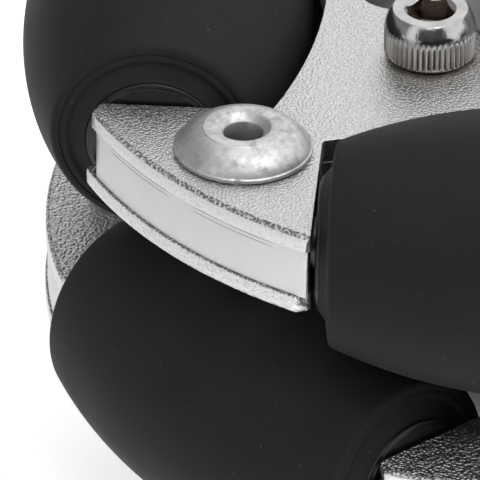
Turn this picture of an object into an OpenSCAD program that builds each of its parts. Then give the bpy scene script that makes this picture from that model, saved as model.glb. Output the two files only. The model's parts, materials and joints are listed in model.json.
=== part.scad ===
// Double-row omni wheel: two identical riveted rows of four barrel rollers,
// set face to face on one flanged hub and turned by half a roller pitch.
// Axle along Z, origin on the axle midway between the rows, millimetres.

/* [Wheel] */
// Distance from the floor of a slot to the roller's barrel
floor_gap = 1.3; // [1:0.1:2]
// How far the plates stay inside the rolling circle
rim_drop = 2.2; // [1.8:0.1:2.6]
// Gap between the rivets of a row and the rollers of the other row
tail_gap = 1.3; // [1:0.1:2.5]
// Least gap between the two rows' rollers, measured along the axle
cross_gap = 0.5; // [0.4:0.05:1]

/* [Rollers] */
// Largest diameter of a roller
roller_d = 26.8; // [25:0.1:28]
// Gap between the end of the rubber and the end of the core
tread_setback = 0.35; // [0.2:0.05:1]
// Radius of the rounded rim of the barrel
rim_r = 0.9; // [0.4:0.1:1.5]
// How far the tapered shoulder of the rubber stands past the rim
shoulder_len = 0.9; // [0.4:0.1:1]
// Diameter of the plastic core
core_d = 12.4; // [11:0.1:13]
// Depth of the ring grooves that key the rubber to the core
key_depth = 0.8; // [0.5:0.1:1]
// Width of one ring groove
key_w = 3; // [2:0.1:4]
// Distance from the rim of the barrel to the middle of a ring groove
key_inset = 11.9; // [8:0.1:14]
// Outside diameter of the bronze bushes
bush_d = 8; // [7.5:0.1:9]
// Length of one bush
bush_len = 9; // [6:0.5:12]
// Gap between the end of a core and the side of its slot
side_gap = 0.35; // [0.3:0.05:0.6]
// Radial running clearance of a bush on its pin
run_gap = 0.05; // [0.02:0.01:0.08]

/* [Roller pins] */
// Diameter of the pins, which is also the thickness of the spacer plate
pin_d = 5; // [4.5:0.1:5.4]
// How far each end of a pin reaches into the spacer plate
pin_grip = 3.6; // [3:0.1:4.2]
// Chamfer on the ends of a pin
pin_chamfer = 0.4; // [0.2:0.1:0.8]
// Clearance round a pin in its seat
seat_gap = 0.05; // [0.02:0.01:0.1]
// Clearance past the end of a pin in its seat
seat_end_gap = 0.2; // [0.1:0.1:0.4]
// Wall between the corner of a seat and the rim of the spacer plate
seat_wall = 1.07; // [0.8:0.01:1.6]

/* [Plates] */
// Thickness of an outer or inner plate
plate_t = 1.8; // [1.5:0.1:2.2]
// Wall between an open access hole and the floor of its slot
floor_wall = 2.65; // [2.2:0.05:3]
// Radius of the slot's curved floor
slot_floor_r = 62.8; // [60:0.1:70]
// Fillet where the floor of the slot meets its sides
slot_fillet = 0.5; // [0.3:0.1:0.8]
// Radius of the blunter of the two tips of each lobe of a plate
blunt_tip_r = 1; // [0.8:0.1:2]
// Radius of its keener tip
keen_tip_r = 0.5; // [0.4:0.1:0.8]
// Radius of the blunter tips of the spacer plate
spacer_blunt_r = 1.2; // [1:0.1:2]
// Radius of the keener tips of the spacer plate
spacer_keen_r = 0.4; // [0.3:0.1:0.8]
// How far the spacer plate is set back from the plates' rim
spacer_inset = 0.3; // [0.1:0.05:0.5]
// Chamfer along the rim of the plates
edge_chamfer = 0.3; // [0.15:0.05:0.5]

/* [Rivets] */
// Distance from the rim of the plates to the middle of a rivet
rivet_inset = 8.2; // [7.8:0.1:8.6]
// Shank diameter of a blind rivet
rivet_d = 6.4; // [6:0.1:6.6]
// Clearance of the shank in its hole
rivet_gap = 0.05; // [0.02:0.01:0.1]
// Head diameter
rivet_head_d = 12.9; // [12:0.1:13]
// Height of the head above the plate
rivet_head_h = 2.6; // [2.5:0.05:3]
// Radius of the rounded flank of the head
rivet_flank_r = 2.44; // [2.2:0.02:2.44]
// Diameter of the flat ring on top of the head
rivet_flat_d = 7.4; // [7:0.1:7.6]
// How far that ring stands above the flank
rivet_ring_h = 0.06; // [0.04:0.01:0.06]
// Diameter of the countersink in the head
rivet_sink_d = 5.2; // [5:0.1:5.5]
// Diameter of the hole left by the pulled mandrel
rivet_hole_d = 3.9; // [3.6:0.1:4]
// Largest diameter of the blind side
rivet_bulb_d = 9.4; // [9:0.1:10]
// Height of the blind side below the plate
rivet_bulb_h = 3.4; // [3:0.1:3.8]
// Depth of the broken mandrel below the top of the head
mandrel_depth = 3.2; // [2:0.1:5]
// How far the mandrel's head stands out of the blind side
mandrel_foot_h = 0.4; // [0.2:0.1:0.8]

/* [Hub] */
// Bore for the shaft
bore_d = 8; // [6:0.1:9]
// Diameter of the boss
boss_d = 20; // [19:0.1:20]
// How far the boss stands above the upper row
boss_rise = 8; // [6:0.1:8.5]
// Distance from the circle of the hub screws to the edge of the flange
flange_edge = 4.85; // [4:0.05:5.5]
// Clearance between the boss and the holes of the plates
boss_gap = 0.1; // [0.05:0.05:0.15]
// Chamfer on the ends of the boss
boss_chamfer = 0.6; // [0.3:0.1:1]
// Chamfer at the mouths of the bore
bore_chamfer = 0.5; // [0.3:0.1:0.8]
// Diameter of the set screws in the boss
set_screw_d = 4; // [3:0.5:4]
// Length of a set screw
set_screw_len = 5; // [4:0.5:5]
// Width across the flats of a set screw's socket
set_screw_key = 2; // [1.5:0.1:2]

/* [Hub screws] */
// Gap between a screw's head and the boss
head_gap = 1.9; // [1.5:0.1:2.2]
// Angle of the hub screws from the middle of the lobes, in degrees
screw_turn = -5.8; // [-8:0.1:-4]
// Thread diameter
screw_d = 5; // [4:0.5:5]
// Length below the head
screw_len = 16; // [12:1:17]
// Head diameter
screw_head_d = 8.5; // [8:0.1:8.6]
// Head height
screw_head_h = 5; // [4:0.1:5.5]
// Height at which the straight side of the head ends and its shoulder starts
screw_side_h = 2.9; // [2.5:0.1:3.5]
// Diameter of the flat top of the head
screw_flat_d = 7; // [6.6:0.1:7.8]
// Chamfer at the foot of the head
screw_head_chamfer = 0.6; // [0.3:0.05:0.8]
// Width across the flats of the socket
screw_key = 4; // [3:0.1:4.2]
// Depth of the socket
screw_key_depth = 2.5; // [2:0.1:3]
// Diameter of the chamfered mouth of the socket
screw_mouth_d = 4.8; // [4.7:0.1:5.4]
// Radial clearance of a screw in a plate
screw_gap = 0.25; // [0.15:0.05:0.3]
// Radial clearance between a thread's crest and its tapped hole
thread_gap = 0.05; // [0.02:0.01:0.1]
// Full depth of a tapped hole past the end of its screw
tap_run_out = 2; // [1:0.1:2.5]
// Diameter of the open access holes between the screws
access_d = 7.8; // [7:0.1:8.4]

/* [Hidden] */

$fn = 96;
eps = 0.01;

lobes = 4;                                 // lobes in a row, and rollers
pitch_angle = 360 / lobes;
first_lobe = -90;                          // angle of the first lobe of the upper row
first_roller = first_lobe + pitch_angle / 2;
flip_axis = pitch_angle / 4;               // the lower row is turned over about this line

// From the axle outwards.
screw_circle_r = boss_d / 2 + head_gap + screw_head_d / 2;
flange_r = screw_circle_r + flange_edge;
slot_floor = screw_circle_r + access_d / 2 + floor_wall;
pin_circle_r = slot_floor + floor_gap + roller_d / 2;  // distance of a roller's axis
wheel_r = pin_circle_r + roller_d / 2;                 // rolling radius, over the crowns
plate_r = wheel_r - rim_drop;
rivet_circle_r = plate_r - rivet_inset;

// Along a roller: the seats end one wall inside the rim of the spacer plate.
spacer_r = plate_r - spacer_inset;
seat_half = sqrt(pow(spacer_r - seat_wall, 2) - pow(pin_circle_r + pin_d / 2 + seat_gap, 2));
pin_len = 2 * (seat_half - seat_end_gap);
slot_w = pin_len - 2 * pin_grip;
core_len = slot_w - 2 * side_gap;
tread_len = core_len - 2 * (tread_setback + shoulder_len);  // from rim to rim

// Along the axle.
spacer_t = pin_d;
stack_t = 2 * plate_t + spacer_t;          // thickness of one riveted row
face_z = stack_t / 2;                      // outer face, from the row's middle plane

// Half height of a roller where it crosses a roller of the other row, at
// distance d from the axle.
function cross_h(d) =
    let (s = d * sin(pitch_angle / 4), q = d * cos(pitch_angle / 4) - pin_circle_r,
         r = sqrt(wheel_r * wheel_r - s * s) - pin_circle_r)
    sqrt(max(0, r * r - q * q));
row_pitch = max(
    roller_d / 2 + face_z + rivet_bulb_h + mandrel_foot_h + tail_gap,
    2 * max([for (d = [slot_floor:0.1:wheel_r]) cross_h(d)]) + cross_gap
);
flange_t = row_pitch - stack_t;
socket_d = screw_key / cos(30);            // across the corners
set_screw_z = row_pitch / 2 + face_z + boss_rise / 2;

plate_colour = [0.80, 0.80, 0.79];
spacer_colour = [0.88, 0.88, 0.87];
steel_colour = [0.70, 0.70, 0.70];
rivet_colour = [0.83, 0.83, 0.82];
rubber_colour = [0.09, 0.09, 0.09];
core_colour = [0.14, 0.14, 0.14];
bronze_colour = [0.62, 0.47, 0.28];

// ---- placing -----------------------------------------------------------

// Puts a row, drawn about its middle plane with its outer face up, in the wheel.
module in_row(row) {
    if (row == "upper")
        translate([0, 0, row_pitch / 2]) children();
    else
        translate([0, 0, -row_pitch / 2])
            rotate(a = 180, v = [cos(flip_axis), sin(flip_axis), 0]) children();
}

module at_lobes()
    for (k = [0:lobes - 1]) rotate([0, 0, first_lobe + k * pitch_angle]) children();

// Puts a roller part, drawn along Z about its own centre, in pocket k of a row.
module in_pocket(row, k)
    in_row(row)
        rotate([0, 0, first_roller + (k - 1) * pitch_angle])
            translate([pin_circle_r, 0, 0])
                rotate([-90, 0, 0]) children();

// ---- plates ------------------------------------------------------------

// One roller slot in plan, opening along +X; its floor bows towards the axle.
module slot_2d(w, floor_x, floor_r, fillet) {
    half = w / 2;
    arc_x = floor_x + floor_r;                                // centre of the floor's arc
    fillet_y = half - fillet;
    fillet_x = arc_x - sqrt(pow(floor_r - fillet, 2) - pow(fillet_y, 2));
    intersection() {
        translate([floor_x, -half]) square([arc_x, w]);
        translate([arc_x, 0]) circle(r = floor_r, $fn = 360);
        union() {
            translate([fillet_x, -half]) square([arc_x, w]);
            translate([floor_x, -fillet_y]) square([arc_x, 2 * fillet_y]);
            for (side = [-1, 1])
                translate([fillet_x, side * fillet_y]) circle(r = fillet);
        }
    }
}

// What is cut from the corner between a slot's side and the rim to leave a
// tip of radius r, beside a slot of half width half.
module tip_cut_2d(rim, half, r) {
    c = [sqrt(pow(rim - r, 2) - pow(half + r, 2)), half + r];  // centre of the tip's arc
    on_side = [c[0], half];
    on_rim = c * rim / (rim - r);
    corner = [sqrt(rim * rim - half * half), half];
    past = 1.2;
    difference() {
        polygon([c, on_side - [0, past], corner + [past, -past], on_rim * past]);
        translate(c) circle(r = r);
    }
}

// Plan of what is cut from a disc to make a plate: four slots, the tips of the
// lobes and the holes. side is 1 where the blunter tip lies anticlockwise of
// its slot and -1 where it lies clockwise.
module plate_cuts_2d(inset, blunt_r, keen_r, side) {
    rim = plate_r - inset;
    half = slot_w / 2 + inset;
    for (k = [0:lobes - 1])
        rotate([0, 0, first_roller + k * pitch_angle]) {
            slot_2d(slot_w + 2 * inset, slot_floor - inset, slot_floor_r, slot_fillet);
            scale([1, side]) tip_cut_2d(rim, half, blunt_r);
            scale([1, -side]) tip_cut_2d(rim, half, keen_r);
        }
    circle(r = boss_d / 2 + boss_gap);
    at_lobes() {
        translate([rivet_circle_r, 0]) circle(d = rivet_d + 2 * rivet_gap);
        rotate([0, 0, screw_turn])
            translate([screw_circle_r, 0]) circle(d = screw_d + 2 * screw_gap);
        rotate([0, 0, screw_turn - pitch_angle / 2])
            translate([screw_circle_r, 0]) circle(d = access_d);
    }
}

// A disc with both edges of its rim chamfered.
module chamfered_disc(r, t, chamfer)
    rotate_extrude($fn = 360)
        polygon([[0, 0], [r - chamfer, 0], [r, chamfer],
                 [r, t - chamfer], [r - chamfer, t], [0, t]]);

module sheet_plate(z, side)
    color(plate_colour)
        translate([0, 0, z])
            difference() {
                chamfered_disc(plate_r, plate_t, edge_chamfer);
                translate([0, 0, -1])
                    linear_extrude(plate_t + 2)
                        plate_cuts_2d(0, blunt_tip_r, keen_tip_r, side);
            }

module outer_plate() sheet_plate(face_z - plate_t, 1);

module inner_plate() sheet_plate(-face_z, -1);

// The thick middle plate, with a seat for each end of each pin.
module spacer_plate()
    color(spacer_colour)
        difference() {
            cylinder(r = spacer_r, h = spacer_t, center = true, $fn = 360);
            translate([0, 0, -spacer_t])
                linear_extrude(2 * spacer_t)
                    plate_cuts_2d(spacer_inset, spacer_blunt_r, spacer_keen_r, 1);
            for (k = [0:lobes - 1])
                rotate([0, 0, first_roller + k * pitch_angle])
                    translate([pin_circle_r, 0, 0])
                        cube([pin_d + 2 * seat_gap, 2 * seat_half, spacer_t + 2 * eps],
                             center = true);
        }

// ---- rivets ------------------------------------------------------------

module rivet_profile() {
    top = face_z + rivet_head_h;
    flank_top = top - rivet_ring_h;
    flank_x = rivet_head_d / 2 - rivet_flank_r;              // centre of the flank's arc
    hole_r = rivet_hole_d / 2;
    sink_r = rivet_sink_d / 2;
    flat_r = rivet_flat_d / 2;
    shank_r = rivet_d / 2;
    bulb_r = rivet_bulb_d / 2;
    foot = -face_z - rivet_bulb_h;
    polygon([
        [hole_r, top - (sink_r - hole_r)], [sink_r, top], [flat_r, top],
        [flat_r + rivet_ring_h, flank_top], [flank_x + 0.2, flank_top],
        [flank_x + 0.2, face_z],
        [shank_r, face_z], [shank_r, -face_z],
        [bulb_r - 0.5, -face_z], [bulb_r, -face_z - 0.6],
        [bulb_r, -face_z - 0.4 * rivet_bulb_h], [bulb_r - 0.5, -face_z - 0.7 * rivet_bulb_h],
        [bulb_r - 1.3, foot], [hole_r + 0.9, foot],
        [hole_r + 0.9, foot + 0.9], [hole_r, foot + 1.8]
    ]);
    intersection() {
        translate([flank_x, flank_top - rivet_flank_r]) circle(r = rivet_flank_r, $fn = 180);
        translate([flank_x, face_z]) square([rivet_flank_r + 1, rivet_head_h]);
    }
}

module rivets()
    color(rivet_colour)
        at_lobes() translate([rivet_circle_r, 0, 0]) rotate_extrude() rivet_profile();

// What the setting tool leaves of each mandrel: the head in the blind side
// and the stem up to where it broke.
module mandrel_profile() {
    top = face_z + rivet_head_h - mandrel_depth;
    stem_r = rivet_hole_d / 2;
    foot = -face_z - rivet_bulb_h;
    polygon([
        [0, top], [0.5 * stem_r, top - 0.1], [stem_r - 0.2, top - 0.7], [stem_r, top - 1],
        [stem_r, foot + 1.8], [stem_r + 0.9, foot + 0.9],
        [stem_r + 0.9, foot - 0.1],
        [stem_r + 0.4, foot - mandrel_foot_h], [0, foot - mandrel_foot_h]
    ]);
}

module rivet_mandrels()
    color(steel_colour)
        at_lobes() translate([rivet_circle_r, 0, 0]) rotate_extrude() mandrel_profile();

// ---- rollers -----------------------------------------------------------

// Half plan of the barrel: its flank is an arc of the wheel's own circle.
module tread_2d() {
    half = tread_len / 2;
    end = half + shoulder_len;
    rim_y = half - rim_r;
    rim_x = sqrt(pow(wheel_r - rim_r, 2) - rim_y * rim_y) - pin_circle_r;
    neck_r = core_d / 2;
    difference() {
        union() {
            intersection() {
                translate([-pin_circle_r, 0]) circle(r = wheel_r, $fn = 360);
                translate([0, -rim_y]) square([roller_d, 2 * rim_y]);
            }
            polygon([[0, -end], [neck_r + 0.3, -end], [rim_x - 0.15, -half], [rim_x, -half],
                     [rim_x, half], [rim_x - 0.15, half], [neck_r + 0.3, end], [0, end]]);
            for (side = [-1, 1])
                translate([rim_x, side * rim_y]) circle(r = rim_r, $fn = 48);
        }
        translate([0, -slot_w]) square([neck_r, 2 * slot_w]);
    }
    for (side = [-1, 1])
        translate([neck_r - key_depth, side * (half - key_inset) - key_w / 2])
            square([key_depth + 1, key_w]);
}

module tread() color(rubber_colour) rotate_extrude() tread_2d();

module core_2d() {
    r = core_d / 2;
    half = core_len / 2;
    difference() {
        translate([0, -half]) square([r, core_len]);
        translate([0, -half]) square([pin_d / 2 + 0.6, core_len]);
        for (side = [-1, 1]) {
            translate([0, side * (half - bush_len / 2) - bush_len / 2])
                square([bush_d / 2, bush_len]);
            translate([r - key_depth, side * (tread_len / 2 - key_inset) - key_w / 2])
                square([key_depth + 1, key_w]);
        }
    }
}

module core() color(core_colour) rotate_extrude() core_2d();

module bushes()
    color(bronze_colour)
        for (side = [-1, 1])
            translate([0, 0, side * (core_len - bush_len) / 2])
                difference() {
                    cylinder(d = bush_d, h = bush_len, center = true);
                    cylinder(r = pin_d / 2 + run_gap, h = bush_len + 2, center = true);
                }

module pin()
    color(steel_colour)
        rotate_extrude()
            polygon([
                [0, -pin_len / 2], [pin_d / 2 - pin_chamfer, -pin_len / 2],
                [pin_d / 2, -pin_len / 2 + pin_chamfer], [pin_d / 2, pin_len / 2 - pin_chamfer],
                [pin_d / 2 - pin_chamfer, pin_len / 2], [0, pin_len / 2]
            ]);

// ---- hub and its screws ------------------------------------------------

// One piece: a flange between the rows and a boss through both of them.
module hub() {
    top = row_pitch / 2 + face_z + boss_rise;
    foot = -row_pitch / 2 - face_z;
    boss_r = boss_d / 2;
    bore_r = bore_d / 2;
    color(plate_colour)
        difference() {
            rotate_extrude()
                polygon([
                    [bore_r, foot + bore_chamfer], [bore_r + bore_chamfer, foot],
                    [boss_r - boss_chamfer, foot], [boss_r, foot + boss_chamfer],
                    [boss_r, -flange_t / 2],
                    [flange_r - boss_chamfer, -flange_t / 2],
                    [flange_r, -flange_t / 2 + boss_chamfer],
                    [flange_r, flange_t / 2 - boss_chamfer],
                    [flange_r - boss_chamfer, flange_t / 2],
                    [boss_r, flange_t / 2],
                    [boss_r, top - boss_chamfer], [boss_r - boss_chamfer, top],
                    [bore_r + bore_chamfer, top], [bore_r, top - bore_chamfer]
                ]);
            for (row = ["upper", "lower"])
                in_row(row) at_lobes() rotate([0, 0, screw_turn])
                    translate([screw_circle_r, 0, -face_z]) tapped_hole();
            at_set_screws()
                cylinder(d = set_screw_d, h = boss_r - bore_r + 4, center = true);
        }
}

// A blind hole going down from the flange's face, with its drill point.
module tapped_hole() {
    r = screw_d / 2 + thread_gap;
    depth = screw_len - stack_t + tap_run_out;
    translate([0, 0, -depth]) {
        cylinder(r = r, h = depth + 1);
        translate([0, 0, -0.6 * r]) cylinder(r1 = 0.01, r2 = r, h = 0.6 * r);
    }
}

// The two radial holes of the boss, midway between screws; +Z points outwards.
module at_set_screws()
    for (turn = [0, pitch_angle])
        rotate([0, 0, first_roller + pitch_angle + screw_turn + turn])
            translate([(boss_d / 2 + bore_d / 2) / 2, 0, set_screw_z])
                rotate([0, 90, 0]) children();

module set_screws()
    color(steel_colour)
        at_set_screws()
            translate([0, 0, (boss_d - bore_d) / 4 - 0.3 - set_screw_len])
                difference() {
                    union() {
                        translate([0, 0, 0.5])
                            cylinder(d = set_screw_d, h = set_screw_len - 0.5);
                        cylinder(d1 = set_screw_d - 1, d2 = set_screw_d, h = 0.5);
                    }
                    translate([0, 0, set_screw_len - 2])
                        cylinder(d = set_screw_key / cos(30), h = 3, $fn = 6);
                }

// Socket head cap screws of one row, heads on the outer plate.
module hub_screws()
    color(steel_colour)
        at_lobes() rotate([0, 0, screw_turn])
            translate([screw_circle_r, 0, face_z])
                difference() {
                    rotate_extrude() screw_2d();
                    translate([0, 0, screw_head_h - screw_key_depth])
                        rotate([0, 0, 15])
                            cylinder(d = socket_d, h = screw_key_depth + 1, $fn = 6);
                    translate([0, 0, screw_head_h - (screw_mouth_d - screw_key) / 2])
                        cylinder(d1 = screw_key, d2 = screw_mouth_d + 0.02,
                                 h = (screw_mouth_d - screw_key) / 2 + 0.01);
                }

module screw_2d() {
    r = screw_head_d / 2;
    rise = screw_head_h - screw_side_h;                // of the shoulder
    draw_in = r - screw_flat_d / 2;
    shoulder_r = (rise * rise + draw_in * draw_in) / (2 * draw_in);
    intersection() {
        translate([0, screw_side_h - eps]) square([r, rise + eps]);
        translate([r - shoulder_r, screw_side_h]) circle(r = shoulder_r, $fn = 180);
    }
    polygon([[0, 0], [r - screw_head_chamfer, 0], [r, screw_head_chamfer],
             [r, screw_side_h], [0, screw_side_h]]);
    polygon([[0, 0.1], [screw_d / 2, 0.1], [screw_d / 2, 0.6 - screw_len],
             [screw_d / 2 - 0.6, -screw_len], [0, -screw_len]]);
}

// ---- nodes -------------------------------------------------------------

hub();
set_screws();
for (row = ["upper", "lower"]) {
    in_row(row) hub_screws();
    in_row(row) outer_plate();
    in_row(row) spacer_plate();
    in_row(row) inner_plate();
    in_row(row) rivets();
    in_row(row) rivet_mandrels();
    for (k = [1:lobes]) {
        in_pocket(row, k) pin();
        in_pocket(row, k) bushes();
        in_pocket(row, k) core();
        in_pocket(row, k) tread();
    }
}
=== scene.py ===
"""Looks of the double-row omni wheel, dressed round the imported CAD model.

Metres, in the CAD frame: the axle is Z and the origin lies midway between the rows.
A row is drawn about its own middle plane, outer face up, and set in place twice.
"""
import json
import math
import random

import bmesh
import bpy
from mathutils import Matrix, Vector


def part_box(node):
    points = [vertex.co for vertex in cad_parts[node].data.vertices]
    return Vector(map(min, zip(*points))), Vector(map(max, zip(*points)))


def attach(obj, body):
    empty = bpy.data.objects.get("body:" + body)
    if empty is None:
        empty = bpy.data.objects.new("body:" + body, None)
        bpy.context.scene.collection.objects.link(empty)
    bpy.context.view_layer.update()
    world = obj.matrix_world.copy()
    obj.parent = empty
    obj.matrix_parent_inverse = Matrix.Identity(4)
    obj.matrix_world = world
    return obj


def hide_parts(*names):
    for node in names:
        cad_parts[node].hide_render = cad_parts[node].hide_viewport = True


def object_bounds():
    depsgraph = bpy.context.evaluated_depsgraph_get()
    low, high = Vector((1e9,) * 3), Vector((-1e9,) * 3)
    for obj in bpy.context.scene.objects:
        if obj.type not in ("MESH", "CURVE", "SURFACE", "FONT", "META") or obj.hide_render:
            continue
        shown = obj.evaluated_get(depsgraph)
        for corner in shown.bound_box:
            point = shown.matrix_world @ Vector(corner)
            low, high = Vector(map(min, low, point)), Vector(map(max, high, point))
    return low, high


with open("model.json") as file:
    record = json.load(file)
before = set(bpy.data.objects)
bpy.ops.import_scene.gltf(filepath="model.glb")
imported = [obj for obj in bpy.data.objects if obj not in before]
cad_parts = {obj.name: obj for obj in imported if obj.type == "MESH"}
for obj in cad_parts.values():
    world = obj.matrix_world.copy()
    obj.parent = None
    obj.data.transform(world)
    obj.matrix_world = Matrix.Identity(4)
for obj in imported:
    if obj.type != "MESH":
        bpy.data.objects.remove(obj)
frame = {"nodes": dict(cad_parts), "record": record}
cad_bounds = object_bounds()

MM = 0.001
ROWS = ("upper", "lower")
LOBES = 4
PITCH = 2 * math.pi / LOBES
FIRST_LOBE = -PITCH
FIRST_ROLLER = FIRST_LOBE + PITCH / 2
FLIP_AXIS = PITCH / 4                     # the lower row is turned over about this line


# ---- sizes that the frame gives ------------------------------------------

def extent(node, axis):
    low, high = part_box(node)
    return high[axis] - low[axis]


X, Y, Z = range(3)
ON_X = "lower_{}_2"                       # the roller on the X axis: its own lies along Y

wheel_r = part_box(ON_X.format("tread"))[1].x
roller_r = extent(ON_X.format("tread"), Z) / 2
tread_over = extent(ON_X.format("tread"), Y)
core_r = extent(ON_X.format("core"), Z) / 2
core_len = extent(ON_X.format("core"), Y)
pin_r = extent(ON_X.format("pin"), Z) / 2
row_z = sum(v.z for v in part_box("upper_pin_1")) / 2
pin_circle_r = wheel_r - roller_r
plate_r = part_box("upper_outer_plate")[1].x
plate_t = extent("upper_outer_plate", Z)
face_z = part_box("upper_outer_plate")[1].z - row_z
rivet_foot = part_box("upper_rivets")[0].z - row_z
screw_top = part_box("upper_screws")[1].z - row_z
screw_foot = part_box("upper_screws")[0].z - row_z


def row_matrix(row):
    """From a row drawn about its middle plane to its place in the wheel."""
    if row == "upper":
        return Matrix.Translation((0, 0, row_z))
    line = Vector((math.cos(FLIP_AXIS), math.sin(FLIP_AXIS), 0))
    return Matrix.Translation((0, 0, -row_z)) @ Matrix.Rotation(math.pi, 4, line)


def at_angle(angle, radius=0.0):
    """Out from the axle by radius, in that direction."""
    return Matrix.Rotation(angle, 4, "Z") @ Matrix.Translation((radius, 0, 0))


def lobe_angles():
    return [FIRST_LOBE + k * PITCH for k in range(LOBES)]


def roller_matrix(row, k):
    """Pocket k, counted from 1: the roller's own axis becomes local Z."""
    return (row_matrix(row) @ at_angle(FIRST_ROLLER + (k - 1) * PITCH, pin_circle_r)
            @ Matrix.Rotation(-math.pi / 2, 4, "X"))


# ---- mesh helpers ----------------------------------------------------------

def revolve(profile, segments, closed=False):
    """A part, as (points, faces), from (radius, height) turned about Z. A closed
    profile is a ring; an open one starts and ends on the axis."""
    points, rings, faces = [], [], []
    for r, z in profile:
        if r < 1e-9:
            rings.append([len(points)])
            points.append(Vector((0, 0, z)))
            continue
        rings.append(range(len(points), len(points) + segments))
        for i in range(segments):
            a = 2 * math.pi * i / segments
            points.append(Vector((r * math.cos(a), r * math.sin(a), z)))
    pairs = list(zip(rings, rings[1:]))
    if closed:
        pairs.append((rings[-1], rings[0]))
    for a, b in pairs:
        faces += between(a, b, segments)
    return points, faces


def between(a, b, n):
    """Faces between two rings of n points, either of which may be one point."""
    if len(a) == 1:
        return [(a[0], b[(i + 1) % n], b[i]) for i in range(n)]
    if len(b) == 1:
        return [(a[i], a[(i + 1) % n], b[0]) for i in range(n)]
    return [(a[i], a[(i + 1) % n], b[(i + 1) % n], b[i]) for i in range(n)]


def copies(part, matrices):
    """One part from several copies of a part, each set in place by a matrix."""
    points, faces = [], []
    for m in matrices:
        first = len(points)
        points += [m @ p for p in part[0]]
        faces += [tuple(first + i for i in f) for f in part[1]]
    return points, faces


def arc(cx, cy, r, start, end, steps):
    """Points on an arc, both ends included; angles in radians."""
    return [(cx + r * math.cos(a), cy + r * math.sin(a))
            for a in (start + (end - start) * i / steps for i in range(steps + 1))]


def add_piece(name, part, body, slot, replaced=(), crease=35, look=None, torn=None):
    """A mesh object from a part, smooth but for edges sharper than crease degrees. Look is its
    material where that isn't the slot's own, and torn tells from a face's centre and normal
    whether it belongs to a sheared edge, which takes the torn edge's material, dark with painted
    reflection and shade."""
    mesh = bpy.data.meshes.new(name)
    mesh.from_pydata(part[0], [], part[1])
    bm = bmesh.new()
    bm.from_mesh(mesh)
    bmesh.ops.recalc_face_normals(bm, faces=bm.faces)
    bm.to_mesh(mesh)
    bm.free()
    mesh.shade_smooth()
    mesh.set_sharp_from_angle(angle=math.radians(crease))
    piece = bpy.data.objects.new(name, mesh)
    bpy.context.scene.collection.objects.link(piece)
    mesh.materials.append(MATERIALS[look or slot])
    if torn:
        mesh.materials.append(MATERIALS["sheared_edge_with_painted_reflection"])
        for face in mesh.polygons:
            face.material_index = int(torn(face.center, face.normal))
    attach(piece, body)
    if replaced:
        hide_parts(*replaced)
    return piece


# ---- materials -------------------------------------------------------------

A_COLOR, B_COLOR, MIXED_COLOR = 6, 7, 2    # the colour sockets of a Mix node


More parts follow.
